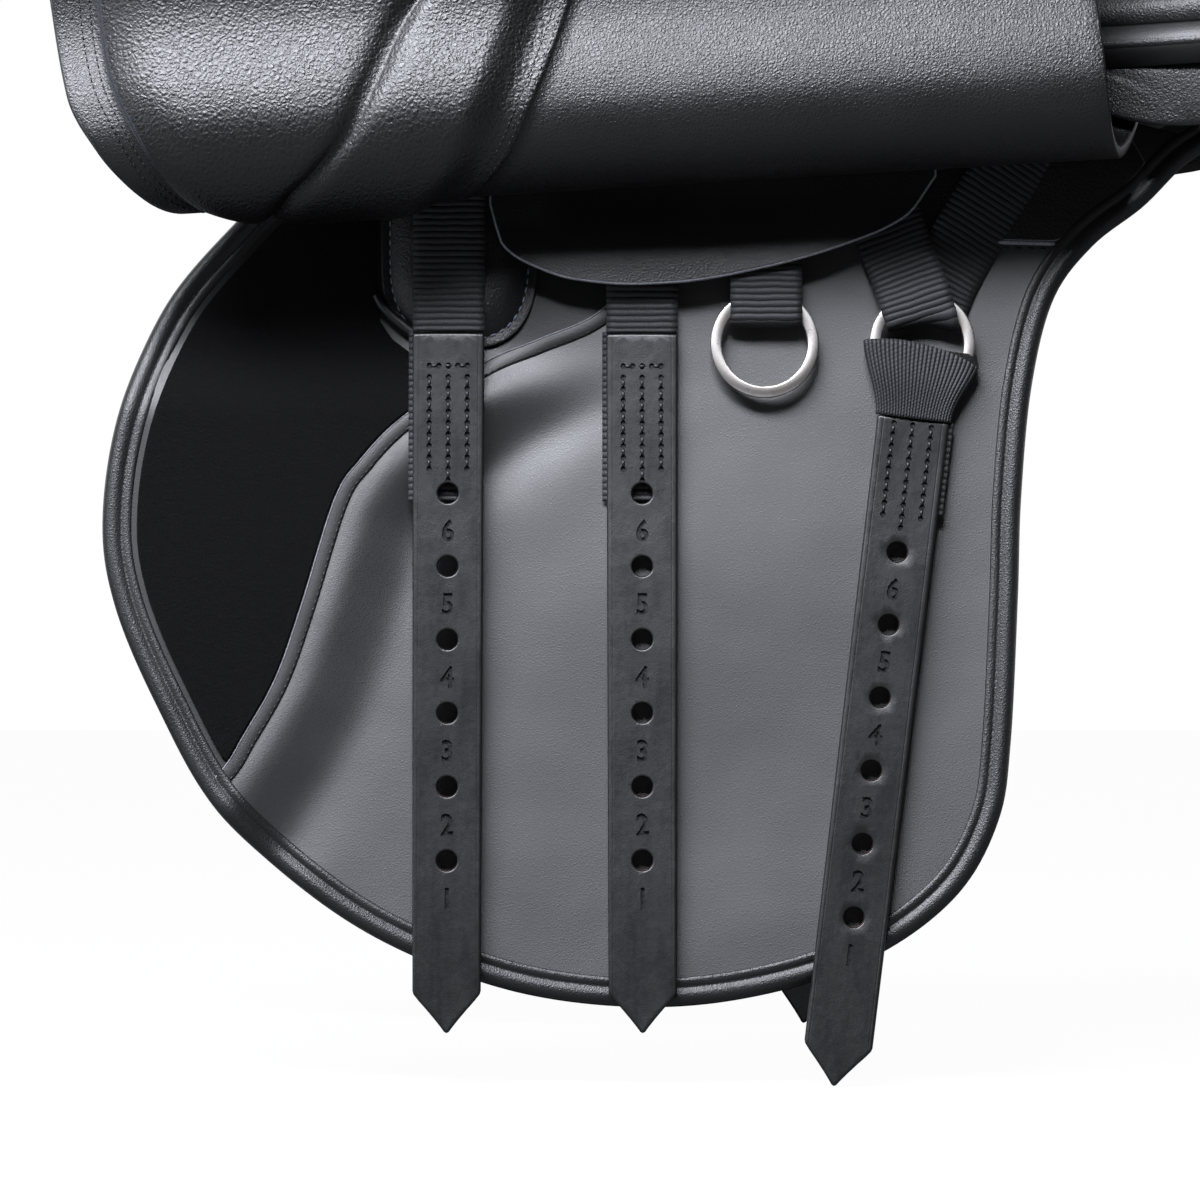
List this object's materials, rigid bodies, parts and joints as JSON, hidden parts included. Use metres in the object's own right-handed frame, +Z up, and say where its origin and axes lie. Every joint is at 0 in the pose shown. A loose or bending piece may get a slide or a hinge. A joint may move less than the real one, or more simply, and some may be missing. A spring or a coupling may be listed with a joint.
{
  "type": "jumping saddle",
  "caption": "Jumping saddle with its near outer flap folded up over the seat: sweat flap, girth straps, rings, point pocket and buckle guard show.",
  "frame": {"origin": "a point on the middle plane at the level of the rear panels' lowest part, 134 mm behind the pockets' middle", "axes": "+X towards the rear, +Y towards the off (right) side, +Z up; the near side, with the folded flap, is -Y"},
  "size_m": [0.5606, 0.3683, 0.5227],
  "materials": {
    "smooth_leather": "smooth, matt",
    "strap_leather": "smooth, semi-gloss",
    "grained_leather": "grained, satin",
    "binding_leather": "satin",
    "webbing": "ribbed weave",
    "loop_fastener": "looped pile",
    "wood": "laminated, lacquered",
    "steel": "polished, weathered"
  },
  "bodies": {
    "frame": {"tree": "wood", "head_plate": "steel", "seat_web": "webbing", "seat": "grained_leather", "seat_welt": "binding_leather", "skirt_band_near": "grained_leather", "stirrup_bar_near": "steel", "panel_near": "grained_leather", "point_pocket_near": "grained_leather", "sweat_flap_near": "smooth_leather", "flap_binding_near": "binding_leather", "block_patch_near": "loop_fastener", "flap_top_near": "smooth_leather", "v_web_near": "webbing", "tab_web_near": "webbing", "pommel_staple_near": "strap_leather", "skirt_band_off": "grained_leather", "stirrup_bar_off": "steel", "panel_off": "grained_leather", "point_pocket_off": "grained_leather", "sweat_flap_off": "smooth_leather", "flap_binding_off": "binding_leather", "block_patch_off": "loop_fastener", "flap_top_off": "smooth_leather", "v_web_off": "webbing", "tab_web_off": "webbing", "pommel_staple_off": "strap_leather"},
    "skirt_near": {"skirt_near": "grained_leather"},
    "bar_catch_near": {"bar_catch_near": "steel"},
    "guard_near": {"buckle_guard_near": "grained_leather"},
    "front_web_near": {"front_web_near": "webbing"},
    "front_strap_near": {"front_strap_near": "strap_leather"},
    "middle_web_near": {"middle_web_near": "webbing"},
    "middle_strap_near": {"middle_strap_near": "strap_leather"},
    "girth_ring_near": {"girth_ring_near": "steel"},
    "rear_strap_near": {"ring_sleeve_near": "webbing", "rear_strap_near": "strap_leather"},
    "free_ring_near": {"free_ring_near": "steel"},
    "pommel_ring_near": {"pommel_ring_near": "steel"},
    "skirt_off": {"skirt_off": "grained_leather"},
    "bar_catch_off": {"bar_catch_off": "steel"},
    "guard_off": {"buckle_guard_off": "grained_leather"},
    "front_web_off": {"front_web_off": "webbing"},
    "front_strap_off": {"front_strap_off": "strap_leather"},
    "middle_web_off": {"middle_web_off": "webbing"},
    "middle_strap_off": {"middle_strap_off": "strap_leather"},
    "girth_ring_off": {"girth_ring_off": "steel"},
    "rear_strap_off": {"ring_sleeve_off": "webbing", "rear_strap_off": "strap_leather"},
    "free_ring_off": {"free_ring_off": "steel"},
    "pommel_ring_off": {"pommel_ring_off": "steel"},
    "flap_bend_near_1": {"flap_bend_near_1": "smooth_leather"},
    "flap_bend_near_2": {"flap_bend_near_2": "smooth_leather"},
    "flap_bend_near_3": {"flap_bend_near_3": "smooth_leather"},
    "flap_bend_near_4": {"flap_bend_near_4": "smooth_leather"},
    "flap_leaf_near_1": {"flap_leaf_near_1": "smooth_leather"},
    "flap_leaf_near_2": {"flap_leaf_near_2": "smooth_leather"},
    "flap_leaf_near_3": {"flap_leaf_near_3": "smooth_leather"},
    "flap_leaf_near_4": {"flap_leaf_near_4": "smooth_leather"},
    "flap_off": {"flap_off": "smooth_leather"}
  },
  "joints": [
    {"name": "skirt_near_lift", "type": "hinge", "parent": "frame", "child": "skirt_near", "pos_m": [-0.148, -0.068, 0.104], "axis": [-0.9305, 0.1984, 0.3079], "range_deg": [0, 10]},
    {"name": "bar_catch_near_turn", "type": "hinge", "parent": "frame", "child": "bar_catch_near", "pos_m": [-0.05, -0.131, 0.0545], "axis": [0, -1, 0], "range_deg": [0, 75]},
    {"name": "guard_near_lift", "type": "hinge", "parent": "frame", "child": "guard_near", "pos_m": [0, -0.11763, 0.024], "axis": [-1, 0, 0], "range_deg": [0, 10]},
    {"name": "front_billet_near_swing", "type": "hinge", "parent": "frame", "child": "front_web_near", "pos_m": [-0.137, 0, 0.038], "axis": [0, 1, 0], "range_deg": [-1.5, 4]},
    {"name": "front_strap_near_lift", "type": "hinge", "parent": "front_web_near", "child": "front_strap_near", "pos_m": [-0.137, -0.13577, -0.0473], "axis": [-1, 0, 0], "range_deg": [0, 50]},
    {"name": "middle_billet_near_swing", "type": "hinge", "parent": "frame", "child": "middle_web_near", "pos_m": [-0.0695, 0, 0.038], "axis": [0, 1, 0], "range_deg": [-4, 4]},
    {"name": "middle_strap_near_lift", "type": "hinge", "parent": "middle_web_near", "child": "middle_strap_near", "pos_m": [-0.0695, -0.12937, -0.0473], "axis": [-1, 0, 0], "range_deg": [0, 50]},
    {"name": "girth_ring_near_lift", "type": "hinge", "parent": "frame", "child": "girth_ring_near", "pos_m": [0.0284, -0.12599, -0.0343], "axis": [-1, 0, 0], "range_deg": [0, 30]},
    {"name": "rear_strap_near_swing", "type": "hinge", "parent": "girth_ring_near", "child": "rear_strap_near", "pos_m": [0.0284, -0.12864, -0.0509], "axis": [0, 1, 0], "range_deg": [-5, 5]},
    {"name": "free_ring_near_lift", "type": "hinge", "parent": "frame", "child": "free_ring_near", "pos_m": [-0.0267, -0.12591, -0.0338], "axis": [-1, 0, 0], "range_deg": [0, 35]},
    {"name": "pommel_ring_near_lift", "type": "hinge", "parent": "frame", "child": "pommel_ring_near", "pos_m": [-0.176, -0.074, 0.112], "axis": [-1, 0, 0], "range_deg": [0, 60]},
    {"name": "skirt_off_lift", "type": "hinge", "parent": "frame", "child": "skirt_off", "pos_m": [-0.148, 0.068, 0.104], "axis": [0.9305, 0.1984, -0.3079], "range_deg": [0, 60]},
    {"name": "bar_catch_off_turn", "type": "hinge", "parent": "frame", "child": "bar_catch_off", "pos_m": [-0.05, 0.131, 0.0545], "axis": [0, -1, 0], "range_deg": [0, 75]},
    {"name": "guard_off_lift", "type": "hinge", "parent": "frame", "child": "guard_off", "pos_m": [0, 0.11763, 0.024], "axis": [1, 0, 0], "range_deg": [0, 5]},
    {"name": "front_billet_off_swing", "type": "hinge", "parent": "frame", "child": "front_web_off", "pos_m": [-0.137, 0, 0.038], "axis": [0, 1, 0], "range_deg": [-1.5, 1.5]},
    {"name": "front_strap_off_lift", "type": "hinge", "parent": "front_web_off", "child": "front_strap_off", "pos_m": [-0.137, 0.13577, -0.0473], "axis": [1, 0, 0], "range_deg": [0, 3]},
    {"name": "middle_billet_off_swing", "type": "hinge", "parent": "frame", "child": "middle_web_off", "pos_m": [-0.0695, 0, 0.038], "axis": [0, 1, 0], "range_deg": [-1.5, 1.5]},
    {"name": "middle_strap_off_lift", "type": "hinge", "parent": "middle_web_off", "child": "middle_strap_off", "pos_m": [-0.0695, 0.12937, -0.0473], "axis": [1, 0, 0], "range_deg": [0, 3]},
    {"name": "girth_ring_off_lift", "type": "hinge", "parent": "frame", "child": "girth_ring_off", "pos_m": [0.0284, 0.12599, -0.0343], "axis": [1, 0, 0], "range_deg": [0, 2.5]},
    {"name": "rear_strap_off_swing", "type": "hinge", "parent": "girth_ring_off", "child": "rear_strap_off", "pos_m": [0.0284, 0.12864, -0.0509], "axis": [0, 1, 0], "range_deg": [-5, 5]},
    {"name": "free_ring_off_lift", "type": "hinge", "parent": "frame", "child": "free_ring_off", "pos_m": [-0.0267, 0.12591, -0.0338], "axis": [1, 0, 0], "range_deg": [0, 5]},
    {"name": "pommel_ring_off_lift", "type": "hinge", "parent": "frame", "child": "pommel_ring_off", "pos_m": [-0.176, 0.074, 0.112], "axis": [1, 0, 0], "range_deg": [0, 60]},
    {"name": "flap_bend_near_1_turn", "type": "hinge", "parent": "frame", "child": "flap_bend_near_1", "pos_m": [0.00281, -0.12918, 0.01472], "axis": [-0.9982, 0, -0.0593], "range_deg": [-35.2, 0]},
    {"name": "flap_bend_near_2_turn", "type": "hinge", "parent": "flap_bend_near_1", "child": "flap_bend_near_2", "pos_m": [0.00326, -0.14224, 0.0072], "axis": [-0.9982, 0, -0.0593], "range_deg": [-35.2, 0]},
    {"name": "flap_bend_near_3_turn", "type": "hinge", "parent": "flap_bend_near_2", "child": "flap_bend_near_3", "pos_m": [0.00322, -0.15731, 0.00772], "axis": [-0.9982, 0, -0.0593], "range_deg": [-35.2, 0]},
    {"name": "flap_bend_near_4_turn", "type": "hinge", "parent": "flap_bend_near_3", "child": "flap_bend_near_4", "pos_m": [0.00272, -0.16981, 0.01614], "axis": [-0.9982, 0, -0.0593], "range_deg": [-35.2, 0]},
    {"name": "flap_leaf_near_1_turn", "type": "hinge", "parent": "flap_bend_near_4", "child": "flap_leaf_near_1", "pos_m": [0.00191, -0.17595, 0.02989], "axis": [-0.9982, 0, -0.0593], "range_deg": [-35.2, 0]},
    {"name": "flap_leaf_near_2_turn", "type": "hinge", "parent": "flap_leaf_near_1", "child": "flap_leaf_near_2", "pos_m": [-0.00387, -0.16226, 0.1271], "axis": [-0.9982, 0, -0.0593], "range_deg": [-24, 0]},
    {"name": "flap_leaf_near_3_turn", "type": "hinge", "parent": "flap_leaf_near_2", "child": "flap_leaf_near_3", "pos_m": [-0.00601, -0.14167, 0.16318], "axis": [-0.9982, 0, -0.0593], "range_deg": [-24, 0]},
    {"name": "flap_leaf_near_4_turn", "type": "hinge", "parent": "flap_leaf_near_3", "child": "flap_leaf_near_4", "pos_m": [-0.00755, -0.10919, 0.18912], "axis": [-0.9982, 0, -0.0593], "range_deg": [-24, 0]},
    {"name": "flap_off_lift", "type": "hinge", "parent": "frame", "child": "flap_off", "pos_m": [0.00268, 0.13316, 0.01683], "axis": [0.9982, 0, 0.0593], "range_deg": [0, 80]}
  ]
}
